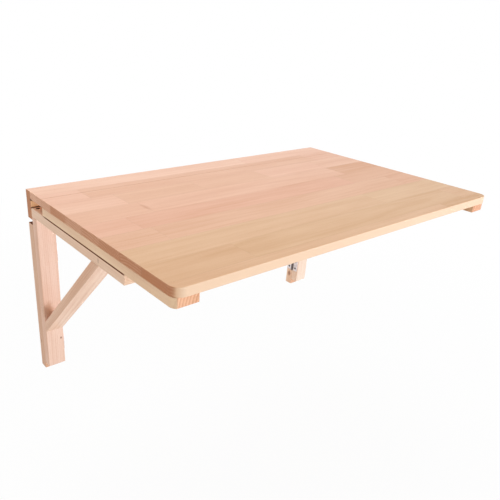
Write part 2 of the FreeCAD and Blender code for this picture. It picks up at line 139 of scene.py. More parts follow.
grainLook = {
    # noises: cycles per metre along the grain and across it, detail, roughness
    "swirlScale": (2.2, 9, 9),
    "swirlDetail": 2,
    "streak": ((3.5, 170, 170), 4, 0.6),
    "blotch": ((5, 22, 22), 3, 0.5),
    "fine": ((30, 1300, 1300), 2, 0.6),
    "fleck": ((240, 2600, 2600), 1, 0.5),
    "bend": 0.016,  # how far the swirl moves the rings
    "lateStart": (0.25, 0.9),  # the dark part of a ring, as shares of the ring
    "lateEnd": (1, 0.92),
    "cloudRange": (0.3, 0.75),
    "fleckRange": (0.6, 0.72),
    "blotchStrength": 0.22,
    "fineStrength": 0.3,
    "fineHeight": 0.5,
    "ringDepth": 0.15,
}


def makeWoodGrain():  # grain runs along X, and the pith lies at Y = Z = 0
    look = grainLook
    inputs = [("Place", "Vector", (0, 0, 0)), ("Light", "Color", (1, 1, 1, 1)),
              ("Dark", "Color", (0.5, 0.4, 0.3, 1)), ("Ring Gap", "Float", 0.004),
              ("Ring Strength", "Float", 0.3), ("Streak Strength", "Float", 0.3),
              ("Pore Strength", "Float", 0.3), ("Tone", "Float", 0)]
    outputs = [("Color", "Color"), ("Height", "Float"), ("Tone", "Float"), ("Ring", "Float")]
    tree, given, result = newGroup("woodGrain", inputs, outputs)
    place = given["Place"]
    slow = vectorCalc(tree, "MULTIPLY", place, look["swirlScale"])
    sockets = {"Vector": slow, "Scale": 1, "Detail": look["swirlDetail"]}
    swirl = addNode(tree, "ShaderNodeTexNoise", sockets).outputs["Color"]
    centred = vectorCalc(tree, "SUBTRACT", swirl, (0.5, 0.5, 0.5))
    bend = vectorCalc(tree, "MULTIPLY", centred, (0, look["bend"], look["bend"]))
    bent = vectorCalc(tree, "ADD", place, bend)
    radius = vectorLength(tree, vectorCalc(tree, "MULTIPLY", bent, (0, 1, 1)))
    ring = calc(tree, "FRACT", calc(tree, "DIVIDE", radius, given["Ring Gap"]))
    late = calc(tree, "MULTIPLY", fade(tree, ring, *look["lateStart"]), fade(tree, ring, *look["lateEnd"]))
    streak = fade(tree, stretchedNoise(tree, bent, *look["streak"]), *look["cloudRange"])
    blotch = fade(tree, stretchedNoise(tree, place, *look["blotch"]), *look["cloudRange"])
    fine = stretchedNoise(tree, bent, *look["fine"])
    fleck = fade(tree, stretchedNoise(tree, place, *look["fleck"]), *look["fleckRange"])
    pores = calc(tree, "MULTIPLY", fleck, given["Pore Strength"])
    tone = calc(tree, "MULTIPLY_ADD", late, given["Ring Strength"], given["Tone"])
    tone = calc(tree, "MULTIPLY_ADD", streak, given["Streak Strength"], tone)
    tone = calc(tree, "MULTIPLY_ADD", blotch, look["blotchStrength"], tone)
    tone = calc(tree, "MULTIPLY_ADD", calc(tree, "SUBTRACT", fine, 0.5), look["fineStrength"], tone)
    shade = clamp(tree, calc(tree, "ADD", tone, pores))
    tree.links.new(mixColour(tree, shade, given["Light"], given["Dark"]), result["Color"])
    sunk = calc(tree, "MULTIPLY_ADD", late, look["ringDepth"], pores)
    raised = calc(tree, "MULTIPLY", fine, look["fineHeight"])
    tree.links.new(calc(tree, "SUBTRACT", raised, sunk), result["Height"])
    tree.links.new(shade, result["Tone"])
    tree.links.new(late, result["Ring"])
    return tree


def rowRamp(tree, share, rows):  # a ramp with one flat step for each stave
    ramp = tree.nodes.new("ShaderNodeValToRGB")
    steps = ramp.color_ramp
    steps.interpolation = "CONSTANT"
    while len(steps.elements) < len(rows):
        steps.elements.new(1)
    for i, values in enumerate(rows):
        steps.elements[i].position = i / len(rows)
        steps.elements[i].color = values
    tree.links.new(share, ramp.inputs[0])
    red, green, blue = addNode(tree, "ShaderNodeSeparateColor", {0: ramp.outputs[0]}).outputs
    return red, green, blue, ramp.outputs[1]


panelLook = {
    "pinkLight": paint(247, 201, 175),
    "pinkDark": paint(223, 165, 134),
    "warmLight": paint(236, 198, 160),
    "warmDark": paint(212, 166, 124),
    "endLight": paint(248, 204, 176),
    "endDark": paint(191, 130, 93),
    "glue": paint(120, 76, 48),
    "glueLine": 0.0003,
    "glueShare": 0.35,
    "endGlueShare": 0.6,
    "glueDepth": 0.6,
    "worn": paint(250, 226, 200),
    "wearWidth": 0.0016,
    "wearShare": 0.12,
    "ringGap": 0.0045,
    "ringStrength": 0.12,
    "streakStrength": 0.2,
    "poreStrength": 0.3,
    "roughness": 0.3,
    "firstEdge": -0.052,
    "staveWidth": 0.061,
    # from the wall to the front: tone, warmth, place and spacing of the butt joints, tone of the ends
    # the place of a joint is its X plus half a metre, so 0.5 is the middle of the desk
    "staves": [
        (0.10, 0.10, 0.62, 0.60, 0.20),
        (0.28, 0.05, 0.18, 0.62, 0.30),
        (0.30, 0.10, 0.225, 0.18, 0.60),
        (0.40, 0.15, 0.24, 0.52, 0.40),
        (0.52, 0.20, 0.18, 0.54, 0.55),
        (0.56, 0.25, 0.193, 0.63, 0.62),
        (0.25, 0.90, 0.66, 0.70, 0.66),
        (0.40, 1.00, 0.26, 0.58, 0.85),
        (0.58, 1.00, 0.75, 0.70, 0.70),
    ],
    # how far the blocks between two butt joints differ
    "blockWarmth": 0.4,
    "blockTone": 0.42,
    "blockShift": 7,  # along the trunk
    "pithAcross": 0.08,
    "pithDown": 0.16,
    "pithLevel": -0.19,
    # sawn ends
    "endContrast": 0.5,
    "endRings": 0.25,
    "vessels": (620, 3, 0.7),
    "vesselRange": (0.5, 0.68),
    "vesselShade": 0.5,
    "frontFade": 0.03,
}


def makePanelStaves():  # boards glued from staves that run along X
    look = panelLook
    inputs = [("Place", "Vector", (0, 0, 0)), ("Ring Strength", "Float", 0.2),
              ("Streak Strength", "Float", 0.25), ("End Shift", "Float", 0)]
    outputs = [("Color", "Color"), ("End Color", "Color"), ("Height", "Float"), ("Tone", "Float")]
    tree, given, result = newGroup("panelStaves", inputs, outputs)
    x, y, z = split(tree, given["Place"])
    depth = calc(tree, "SUBTRACT", look["firstEdge"], y)
    row = calc(tree, "DIVIDE", depth, look["staveWidth"])
    number = calc(tree, "FLOOR", row)  # the first stave, behind the first edge, is number -1
    share = calc(tree, "DIVIDE", calc(tree, "ADD", number, 1.5), len(look["staves"]))
    rows = [(tone, warmth, joint, endTone) for tone, warmth, joint, spacing, endTone in look["staves"]]
    spacings = [(values[3], 0, 0, 1) for values in look["staves"]]
    tone, warmth, joint, endTone = rowRamp(tree, share, rows)
    spacing = rowRamp(tree, share, spacings)[0]
    along = calc(tree, "DIVIDE", calc(tree, "SUBTRACT", x, calc(tree, "SUBTRACT", joint, 0.5)), spacing)
    key = join(tree, number, calc(tree, "FLOOR", along))
    chance = addNode(tree, "ShaderNodeTexWhiteNoise", {"Vector": key}, noise_dimensions="3D").outputs
    first, second, third = addNode(tree, "ShaderNodeSeparateColor", {0: chance["Color"]}).outputs

    # each block is cut from another place in the trunk
    centre = calc(tree, "MULTIPLY", calc(tree, "ADD", number, 0.5), look["staveWidth"])
    pithX = calc(tree, "MULTIPLY_ADD", third, look["blockShift"], x)
    aside = calc(tree, "MULTIPLY_ADD", first, look["pithAcross"], -look["pithAcross"] / 2)
    pithY = calc(tree, "ADD", calc(tree, "SUBTRACT", centre, depth), aside)
    pithZ = calc(tree, "SUBTRACT", z, calc(tree, "MULTIPLY_ADD", second, look["pithDown"], look["pithLevel"]))
    own = join(tree, pithX, pithY, pithZ)
    warmth = calc(tree, "MULTIPLY_ADD", calc(tree, "SUBTRACT", third, 0.5), look["blockWarmth"], warmth)
    warmth = clamp(tree, warmth)
    light = mixColour(tree, warmth, look["pinkLight"], look["warmLight"])
    dark = mixColour(tree, warmth, look["pinkDark"], look["warmDark"])
    differ = calc(tree, "SUBTRACT", chance["Value"], 0.5)
    blockTone = calc(tree, "MULTIPLY_ADD", differ, look["blockTone"], tone)
    grain = placeGroup(tree, woodGrain, {
        "Place": own, "Light": light, "Dark": dark, "Ring Gap": look["ringGap"], "Tone": blockTone,
        "Pore Strength": look["poreStrength"], "Ring Strength": given["Ring Strength"],
        "Streak Strength": given["Streak Strength"]})

    # sawn ends show the rings and the open ends of the wood's vessels
    endShade = calc(tree, "SUBTRACT", grain["Tone"], blockTone)
    endShade = calc(tree, "MULTIPLY_ADD", endShade, look["endContrast"], endTone)
    endShade = calc(tree, "MULTIPLY_ADD", grain["Ring"], look["endRings"], endShade)
    endShade = calc(tree, "ADD", endShade, given["End Shift"])
    vessels = fade(tree, noise(tree, given["Place"], *look["vessels"]), *look["vesselRange"])
    endShade = clamp(tree, calc(tree, "MULTIPLY_ADD", vessels, look["vesselShade"], endShade))

    nearRow = calc(tree, "MULTIPLY", calc(tree, "PINGPONG", row, 0.5), look["staveWidth"])
    nearEnd = calc(tree, "MULTIPLY", calc(tree, "PINGPONG", along, 0.5), spacing)
    seam = fade(tree, calc(tree, "MINIMUM", nearRow, nearEnd), 0, look["glueLine"], 1, 0)
    seamShare = calc(tree, "MULTIPLY", seam, look["glueShare"])
    tree.links.new(mixColour(tree, seamShare, grain["Color"], look["glue"]), result["Color"])
    ends = mixColour(tree, endShade, look["endLight"], look["endDark"])
    seamShare = calc(tree, "MULTIPLY", seam, look["endGlueShare"])
    tree.links.new(mixColour(tree, seamShare, ends, look["glue"]), result["End Color"])
    tree.links.new(calc(tree, "MULTIPLY_ADD", seam, -look["glueDepth"], grain["Height"]), result["Height"])
    tree.links.new(grain["Tone"], result["Tone"])
    return tree


faceLook = {
    "rim": (0.0001, 0.0007),  # how far a face reaches inwards
    "endFacing": (0.66, 0.96),  # how squarely the sawn ends and the turn at a corner face along X
    "turnFacing": (0.2, 0.95),
    "wearNoise": (90, 3, 0.6),
    "wearSpread": 1.4,
    "wearLeast": 0.3,
}


def makeBoardFaces():  # masks for the sawn ends and worn edges of a board with its middle at the origin
    look = faceLook
    inputs = [("Place", "Vector", (0, 0, 0)), ("Half Size", "Vector", (1, 1, 1)), ("Corner", "Float", 0.001),
              ("Wear Width", "Float", 0.002)]
    outputs = [("End", "Float"), ("Edge", "Float"), ("Front", "Float"), ("Turn", "Float")]
    tree, given, result = newGroup("boardFaces", inputs, outputs)
    place = given["Place"]
    x, y, z = split(tree, place)
    halfX, halfY, halfZ = split(tree, given["Half Size"])
    inX = calc(tree, "SUBTRACT", halfX, calc(tree, "ABSOLUTE", x))
    inY = calc(tree, "SUBTRACT", halfY, calc(tree, "ABSOLUTE", y))
    inZ = calc(tree, "SUBTRACT", halfZ, calc(tree, "ABSOLUTE", z))

    # the ends turn into the front round the corner
    cornerX = calc(tree, "MAXIMUM", calc(tree, "SUBTRACT", given["Corner"], inX), 0)
    fromFront = calc(tree, "ADD", halfY, y)
    cornerY = calc(tree, "MAXIMUM", calc(tree, "SUBTRACT", given["Corner"], fromFront), 0)
    out = vectorLength(tree, join(tree, cornerX, cornerY))
    facing = calc(tree, "DIVIDE", cornerX, calc(tree, "MAXIMUM", out, 0.00001))  # never divides by zero
    rim = fade(tree, calc(tree, "SUBTRACT", given["Corner"], out), *look["rim"], 1, 0)
    ends = fade(tree, facing, *look["endFacing"])
    tree.links.new(calc(tree, "MULTIPLY", rim, ends), result["End"])
    tree.links.new(calc(tree, "MULTIPLY", rim, calc(tree, "SUBTRACT", 1, ends)), result["Front"])
    tree.links.new(fade(tree, facing, *look["turnFacing"]), result["Turn"])

    # an edge is where two of the three faces are near
    low = calc(tree, "MINIMUM", inX, inY)
    high = calc(tree, "MAXIMUM", inX, inY)
    second = calc(tree, "MAXIMUM", low, calc(tree, "MINIMUM", high, inZ))
    uneven = noise(tree, place, *look["wearNoise"])
    uneven = calc(tree, "MULTIPLY_ADD", uneven, look["wearSpread"], look["wearLeast"])
    reach = calc(tree, "MULTIPLY", given["Wear Width"], uneven)
    tree.links.new(fade(tree, second, 0, reach, 1, 0), result["Edge"])
    return tree


spotLook = {"noiseScale": 260, "noiseShare": 0.9, "least": 0.55, "edge": (0.35, 1.15)}


def makeSpot():  # a small ragged mark: pin knots, and patches and lines of painted shade
    look = spotLook
    inputs = [("Place", "Vector", (0, 0, 0)), ("Centre", "Vector", (0, 0, 0)),
              ("Stretch", "Vector", (1, 1, 1)), ("Radius", "Float", 0.001)]
    tree, given, result = newGroup("spot", inputs, [("Mask", "Float")])
    place = given["Place"]
    away = vectorCalc(tree, "SUBTRACT", place, given["Centre"])
    away = vectorCalc(tree, "MULTIPLY", away, given["Stretch"])
    ragged = noise(tree, place, look["noiseScale"])
    ragged = calc(tree, "MULTIPLY_ADD", ragged, look["noiseShare"], look["least"])
    share = calc(tree, "DIVIDE", vectorLength(tree, away), calc(tree, "MULTIPLY", given["Radius"], ragged))
    tree.links.new(fade(tree, share, *look["edge"], 1, 0), result["Mask"])
    return tree


woodGrain = makeWoodGrain()
panelStaves = makePanelStaves()
boardFaces = makeBoardFaces()
spot = makeSpot()
print("shared effects made")


# Wood

finishLook = {
    "toneRoughness": 0.14,  # darker wood is rougher, and so are sawn ends and the painted gap shade
    "dullRoughness": 0.4,
    "bumpStrength": 0.35,
    "bumpHeight": 0.00025,
    "specular": 0.2,  # sanded wood with a thin oil finish
}


def newMaterial(name):
    material = bpy.data.materials.new(name)
    material.use_nodes = True
    tree = material.node_tree
    place = tree.nodes.new("ShaderNodeTexCoord").outputs["Object"]
    return material, tree, tree.nodes["Principled BSDF"], place


def finishWood(tree, shader, colour, height, tone, dull, roughness):
    look = finishLook
    tree.links.new(colour, shader.inputs["Base Color"])
    rough = calc(tree, "MULTIPLY_ADD", tone, look["toneRoughness"], roughness)
    rough = calc(tree, "MULTIPLY_ADD", dull, look["dullRoughness"], rough)
    tree.links.new(rough, shader.inputs["Roughness"])
    sockets = {"Height": height, "Strength": look["bumpStrength"], "Distance": look["bumpHeight"]}
    tree.links.new(addNode(tree, "ShaderNodeBump", sockets).outputs[0], shader.inputs["Normal"])
    shader.inputs["Specular IOR Level"].default_value = look["specular"]


def dress(name, material):
    slots = nodes[name].data.materials
    slots.clear()
    slots.append(material)


def addMarks(tree, place, colour, marks, tint):
    for centre, stretch, radius, strength in marks:
        sockets = {"Place": place, "Centre": centre, "Stretch": stretch, "Radius": radius}
        mask = placeGroup(tree, spot, sockets)["Mask"]
        colour = mixColour(tree, calc(tree, "MULTIPLY", mask, strength), colour, tint)
    return colour


boardLook = {
    "top_leaf": {
        "endShift": 0,
        "corner": 0.018,
        "front": paint(244, 214, 186),
        "turn": paint(255, 210, 168),  # more end grain shows round the corner
        "frontFrom": 0,  # the front's colour starts this far from the middle
        "frontShare": 0.8,
        "mark": paint(196, 124, 88),
        "marks": [((-0.26, -0.205, 0.0365), (1, 0.3, 1), 0.006, 0.35)],  # centre, stretch, radius, strength
    },
    "fixed_strip": {
        "endShift": -0.08,
        "corner": 0.001,
        # painted bounce light: a warm orange on the strip's front, in the shaded gap of the fold
        "front": paint(225, 165, 115),
        "turn": paint(225, 165, 115),
        "frontFrom": 0,
        "frontShare": 0.5,
        # painted shadow on the strip's underside near its left end, next to the rail
        "mark": paint(90, 50, 24),
        "marks": [((-0.39, -0.024, 0.0205), (0.08, 0.7, 1), 0.0035, 0.6)],
    },
    "wall_rail": {
        "endShift": 0.5,
        "corner": 0.001,
        # painted bounce light: this warm orange on the rail's front and turn stands in for light bounced
        # between the wood surfaces in the shaded cavity above each arm, and fades out towards the middle
        "front": paint(242, 194, 132),
        "turn": paint(242, 194, 132),
        "frontFrom": 0.366,
        "frontShare": 0.6,
        # painted shadow lines on the rail's front near its left end: under the strip, and where the arm's top
        # meets the rail
        "mark": paint(90, 44, 16),
        "marks": [((-0.385, -0.02, 0.0205), (0.1, 1, 1), 0.0042, 0.85),
                  ((-0.385, -0.02, 0.0035), (0.08, 1, 1), 0.003, 0.95)],
    },
}


def makePanelWood(name):
    look = panelLook
    own = boardLook[name]
    low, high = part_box(name)
    material, tree, shader, place = newMaterial(f"{name}_wood")
    sockets = {"Place": place, "Ring Strength": look["ringStrength"],
               "Streak Strength": look["streakStrength"], "End Shift": own["endShift"]}
    boards = placeGroup(tree, panelStaves, sockets)
    centred = vectorCalc(tree, "SUBTRACT", place, tuple((low + high) / 2))
    sockets = {"Place": centred, "Half Size": tuple((high - low) / 2), "Corner": own["corner"],
               "Wear Width": look["wearWidth"]}
    faces = placeGroup(tree, boardFaces, sockets)
    front = mixColour(tree, faces["Turn"], own["front"], own["turn"])
    fromMiddle = calc(tree, "ABSOLUTE", split(tree, place)[0])
    start = own["frontFrom"]
    share = fade(tree, fromMiddle, start - look["frontFade"], start, 0, own["frontShare"])
    # the front's colour, which on the rail and the strip is painted bounce light
    colour = mixColour(tree, calc(tree, "MULTIPLY", faces["Front"], share), boards["Color"], front)
    colour = mixColour(tree, faces["End"], colour, boards["End Color"])
    colour = mixColour(tree, calc(tree, "MULTIPLY", faces["Edge"], look["wearShare"]), colour, look["worn"])
    # a mark on the top, and painted shadow lines on the strip and the rail
    colour = addMarks(tree, place, colour, own["marks"], own["mark"])
    finishWood(tree, shader, colour, boards["Height"], boards["Tone"], faces["End"], look["roughness"])
    return material


for name in boardLook:
    dress(name, makePanelWood(name))

alongY = Euler((0, 0, math.radians(90)))
alongZ = Euler((0, math.radians(-90), 0))
downBrace = (Euler((math.radians(-45), 0, 0)).to_matrix() @ alongY.to_matrix()).to_euler()
barKinds = {
    "batten": {
        "turn": alongY,  # direction of the grain
        "warmth": 0.9,
        "tone": 0.02,
        "sideTone": 0,  # how much darker the sides are
        "ringGap": 0.0055,
        "endRings": 0.35,
    },
    "wall_post": {
        "turn": alongZ,
        "warmth": 0.6,
        "tone": 0.52,
        "sideTone": 0,
        "ringGap": 0.0038,
        "endRings": 0.3,
    },
    "stile": {
        "turn": alongZ,
        "warmth": 0,
        "tone": 0.05,
        "sideTone": 0.2,
        "sideTint": paint(255, 246, 236),
        "ringGap": 0.0038,
        "endRings": 0.3,
    },
    "arm": {
        "turn": alongY,
        "warmth": 0.5,
        "tone": 0.06,
        "sideTone": 0,
        "sideTint": paint(253, 249, 245),
        "ringGap": 0.0038,
        "endRings": 0.1,
    },
    "brace": {
        "turn": downBrace,
        "warmth": 0.3,
        "tone": 0.16,
        "sideTone": 0.2,
        "sideTint": paint(255, 249, 242),
        "ringGap": 0.0038,
        "endRings": 0.3,
    },
}
barLook = {
    "pinkLight": paint(250, 224, 210),
    "warmLight": paint(250, 216, 174),
    "dark": paint(210, 160, 128),
    "ringStrength": 0.14,
    "streakStrength": 0.22,
    "poreStrength": 0.3,
    "roughness": 0.34,
    "worn": paint(250, 228, 204),
    "wearWidth": 0.0014,
    "wearShare": 0.12,
    "sideEdge": (0.0002, 0.001),  # the look of the sides ends this far inside them
    "pithSpread": 0.03,
    "pithLevel": -0.05,
    "sidePith": ("batten",),  # sawn beside the pith, so that the rings stand upright in its ends
    "sidePithAway": 0.06,
    "braceHalf": (0.25, 0.0185, 0.009),
    "braceShift": (0, 0.00635, 0.00635),  # the bar's own middle is above the middle of its box
    "endTint": paint(255, 240, 232),
    "shadedTop": paint(110, 76, 60),  # painted shade on the upper ends of the posts, in the gap under the rail
    "shadedTopRange": (-0.1, 0.1),
    "endRing": paint(196, 120, 84),
    # colour of the knots, and of the painted shadow line on the left arm
    "knotAndShade": paint(130, 76, 50),
    # golden brown of the painted shade on the stiles and battens
    "stainAndShade": paint(166, 108, 44),
    # settings for single bars
    "ownLights": {"bracket_right_stile": paint(252, 240, 226)},
    "paleSides": {"wall_post_right": 0.37, "bracket_right_stile": 0.12},
    "endTints": {
        "batten_left": paint(255, 238, 238),
        "batten_right": paint(242, 220, 222),
        "bracket_left_arm": paint(248, 252, 255),
        "bracket_right_arm": paint(248, 252, 255),
    },
    # centre, stretch, radius and strength of each patch of painted shade and each knot
    "paintedShades": {
        # painted shadow of the brace on each stile's front, just above the brace's foot
        "bracket_left_stile": [((-0.391, -0.0403, -0.214), (1.6, 1, 0.9), 0.021, 0.42)],
        "bracket_right_stile": [((0.391, -0.0403, -0.214), (1.6, 1, 0.9), 0.021, 0.42)],
        # painted shade on each batten's inner side near its front end
        "batten_left": [((-0.357, -0.462, 0.0125), (1, 0.8, 0.5), 0.03, 0.5)],
        "batten_right": [((0.357, -0.462, 0.0125), (1, 0.8, 0.5), 0.03, 0.5)],
    },
    "knotsAndShade": {
        "bracket_left_stile": [((-0.3690, -0.0403, -0.2862), (1, 1, 0.6), 0.002, 0.9)],
        "wall_post_left": [((-0.4, -0.009, -0.30), (1, 1, 0.4), 0.002, 0.6)],
        "wall_post_right": [((0.363, -0.010, -0.333), (1, 1, 0.7), 0.0065, 0.7)],
        "bracket_left_arm": [((-0.4, -0.289, -0.004), (1, 1, 0.25), 0.0016, 0.6),
                             # painted shadow line where the arm's top meets the rail's front
                             ((-0.3815, -0.0203, 0.0042), (0.08, 1, 1), 0.0028, 0.95)],
    },
    # seeds set another piece of the trunk for each bar
    "sideSeed": 3.1,
    "dowelSeed": 9,
}
# painted shade along the gap between each arm and its batten
gapShadeLook = {
    "kinds": ("batten", "arm"),
    "colour": paint(112, 50, 8),
    "inwards": (0.0012, 0.002),
    "level": 0.00435,
    "halfHeight": (0.001, 0.0017),
    "frontEnd": (-0.373, -0.366),
    "backEnd": (-0.092, -0.066),
}


def placePith(kind, seed):  # each bar is cut from another place in the trunk
    look = barLook
    across = look["pithSpread"] * math.sin(seed * 2.1)
    down = look["pithLevel"] - look["pithSpread"] * math.cos(seed * 1.3)
    if kind in look["sidePith"]:
        across, down = look["sidePithAway"] - down, across
    return seed * 1.37, across, down


def drawGapShade(tree, place, inside):  # painted shade: a dark line along the gap where the arm's top meets the batten's underside
    look = gapShadeLook
    x, y, z = split(tree, place)
    near = fade(tree, inside, *look["inwards"], 1, 0)
    level = calc(tree, "ABSOLUTE", calc(tree, "SUBTRACT", z, look["level"]))
    line = calc(tree, "MULTIPLY", near, fade(tree, level, *look["halfHeight"], 1, 0))
    line = calc(tree, "MULTIPLY", line, fade(tree, y, *look["frontEnd"]))
    return calc(tree, "MULTIPLY", line, fade(tree, y, *look["backEnd"], 1, 0))


def makeBarWood(name, kind, seed):
    look = barLook
    own = barKinds[kind]
    low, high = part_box(name)
    middle = (low + high) / 2
    turned = own["turn"].to_matrix().inverted()
    half = [abs(value) for value in turned @ ((high - low) / 2)]
    if kind == "brace":
        middle = middle + Vector(look["braceShift"])
        half = look["braceHalf"]
    material, tree, shader, place = newMaterial(f"{name}_wood")
    centred = vectorCalc(tree, "SUBTRACT", place, tuple(middle))
    sockets = {"Vector": centred, "Rotation": tuple(turned.to_euler())}
    along = addNode(tree, "ShaderNodeMapping", sockets).outputs[0]
    x, y, z = split(tree, centred)
    inside = calc(tree, "SUBTRACT", (high.x - low.x) / 2, calc(tree, "ABSOLUTE", x))
    sideTone = own["tone"] + own["sideTone"] - look["paleSides"].get(name, 0)
    light = blendPaint(own["warmth"], look["pinkLight"], look["warmLight"])
    grain = placeGroup(tree, woodGrain, {
        "Place": vectorCalc(tree, "ADD", along, placePith(kind, seed)),
        "Light": look["ownLights"].get(name, light), "Dark": look["dark"],
        "Ring Gap": own["ringGap"], "Ring Strength": look["ringStrength"],
        "Streak Strength": look["streakStrength"], "Pore Strength": look["poreStrength"],
        "Tone": fade(tree, inside, *look["sideEdge"], sideTone, own["tone"])})
    faces = placeGroup(tree, boardFaces, {"Place": along, "Half Size": half, "Wear Width": look["wearWidth"]})
    wear = calc(tree, "MULTIPLY", faces["Edge"], look["wearShare"])
    colour = mixColour(tree, wear, grain["Color"], look["worn"])
    if "sideTint" in own:
        sides = fade(tree, inside, *look["sideEdge"], 1, 0)
        colour = mixColour(tree, sides, colour, own["sideTint"], "MULTIPLY")
    endTint = look["endTints"].get(name, look["endTint"])
    if kind == "wall_post":
        # painted shade on the posts' upper ends, under the rail
        endTint = mixColour(tree, fade(tree, z, *look["shadedTopRange"]), endTint, look["shadedTop"])
    colour = mixColour(tree, faces["End"], colour, endTint, "MULTIPLY")
    rings = calc(tree, "MULTIPLY", faces["End"], calc(tree, "MULTIPLY", grain["Ring"], own["endRings"]))
    colour = mixColour(tree, rings, colour, look["endRing"])
    # painted shade: the braces' shadows on the stiles and the shade on the battens' inner sides
    colour = addMarks(tree, place, colour, look["paintedShades"].get(name, ()), look["stainAndShade"])
    # knots, and on the left arm a painted shadow line at the rail
    colour = addMarks(tree, place, colour, look["knotsAndShade"].get(name, ()), look["knotAndShade"])
    dull = faces["End"]
    # painted shade in the gap between arm and batten darkens and dulls the wood
    if kind in gapShadeLook["kinds"]:
        line = drawGapShade(tree, place, inside)
        colour = mixColour(tree, line, colour, gapShadeLook["colour"])
        dull = calc(tree, "MAXIMUM", dull, line)
    finishWood(tree, shader, colour, grain["Height"], grain["Tone"], dull, look["roughness"])
    return material


for number, side in enumerate(("left", "right")):
    for step, kind in enumerate(barKinds):
        name = f"bracket_{side}_{kind}" if kind in ("stile", "arm", "brace") else f"{kind}_{side}"
        dress(name, makeBarWood(name, kind, barLook["sideSeed"] * number + step + 1))
dress("strip_dowels", makeBarWood("strip_dowels", "arm", barLook["dowelSeed"]))
print("wood finished")


# Steel

steelLook = {
    # colour, stain and roughness
    "screws": (paint(70, 60, 58), paint(42, 36, 34), 0.3),
    "hingeScrews": (paint(36, 28, 28), paint(42, 36, 34), 0.35),
    "hinges": (paint(240, 228, 224), paint(212, 198, 196), 0.28),
    # noises: scale, detail, roughness
    "brushed": ((900, 900, 60), 3, 0.6),
    "cloud": (220, 4, 0.6),
    "stainRange": (0.35, 0.7),
    "brushedRoughness": 0.22,
    "cloudRoughness": 0.12,
    "bumpStrength": 0.2,
    "bumpHeight": 0.0001,
    # painted shade darkens the knuckles round the pin
    "barrelShade": paint(70, 58, 56),
    "barrelShadeReach": (0.0026, 0.0042),
    "barrelShadeMost": 0.8,
    "barrelShadeCloud": (0.1, 0.6, 0.6, 1),  # two values of the cloud, and the share of painted shade at each
    "barrelShadeRoughness": 0.2,
}


def makeSteel(name, colour, stainAndShade, roughness, pinPlace=None, across=None):
    look = steelLook
    material, tree, shader, place = newMaterial(name)
    brushed = stretchedNoise(tree, place, *look["brushed"])
    cloud = noise(tree, place, *look["cloud"])
    tint = mixColour(tree, fade(tree, cloud, *look["stainRange"]), colour, stainAndShade)
    rough = calc(tree, "MULTIPLY_ADD", brushed, look["brushedRoughness"], roughness)
    rough = calc(tree, "MULTIPLY_ADD", cloud, look["cloudRoughness"], rough)
    # painted shade on the knuckles round the pin
    if pinPlace:
        away = vectorCalc(tree, "MULTIPLY", vectorCalc(tree, "SUBTRACT", place, pinPlace), across)
        near = fade(tree, vectorLength(tree, away), *look["barrelShadeReach"], look["barrelShadeMost"], 0)
        shadedBarrel = calc(tree, "MULTIPLY", near, fade(tree, cloud, *look["barrelShadeCloud"]))
        tint = mixColour(tree, shadedBarrel, tint, look["barrelShade"])
        rough = calc(tree, "MULTIPLY_ADD", shadedBarrel, look["barrelShadeRoughness"], rough)
    tree.links.new(tint, shader.inputs["Base Color"])
    tree.links.new(rough, shader.inputs["Roughness"])
    sockets = {"Height": brushed, "Strength": look["bumpStrength"], "Distance": look["bumpHeight"]}
    tree.links.new(addNode(tree, "ShaderNodeBump", sockets).outputs[0], shader.inputs["Normal"])
    shader.inputs["Metallic"].default_value = 1
    return material


# Hinges: sheet steel with rounded corners, its knuckles rolled round the pin

hingeLook = {
    # lengths in metres, and the middles of the screw holes along the hinge
    "side": {
        "long": 0.038,
        "wing": 0.019,
        "barrel": 0.0025,
        "pin": 0.00125,
        "row": 0.0115,
        "holes": (-0.0105, 0.0105),
    },
    "fold": {
        "long": 0.050,
        "wing": 0.020,
        "barrel": 0.003,
        "pin": 0.0015,
        "row": 0.012,
        "holes": (-0.017, 0, 0.017),
    },
    "foldPin": (0, -0.0735, 0.0175),
    "sidePin": (0.3605, -0.02015, 0),
    "plate": 0.0015,
    "corner": 0.003,
    "cornerSteps": 5,
    "hole": 0.0014,
    "sink": 0.0028,
    "holeSides": 24,
    "relief": 0.0004,
    "knuckles": 5,
    "gap": 0.0003,
    "play": 0.00005,
    "rollStart": 0.0005,  # the sheet of a knuckle starts this far inside the plate
    "roll": 291,  # degrees that the sheet goes round the pin
    "rollSteps": 24,
    "pinSides": 28,
    "headLip": 0.0008,
    "headRound": 0.75,  # share of the lip that is rounded
    "headSteps": 4,
    "softEdge": 0.00015,
    "softSteps": 2,
    "sharp": 40,  # degrees between two faces from which their edge counts as sharp
}


def sharpEdges(bm):
    limit = math.radians(hingeLook["sharp"])
    return [edge for edge in bm.edges if len(edge.link_faces) == 2 and edge.calc_face_angle() > limit]


def soften(bm, items, offset, steps, affect="EDGES"):
    bmesh.ops.bevel(bm, geom=items, offset=offset, offset_type="OFFSET", segments=steps, profile=0.5,
                    affect=affect, clamp_overlap=True, material=-1)


def addSquare(bm, place):  # two by two, before place turns, stretches and moves it
    return bmesh.ops.create_grid(bm, x_segments=1, y_segments=1, size=1, matrix=place)["verts"]


def atLevel(items, level):  # the edges or faces that lie at this X
    return [item for item in items if all(abs(vert.co.x - level) < 1e-6 for vert in item.verts)]


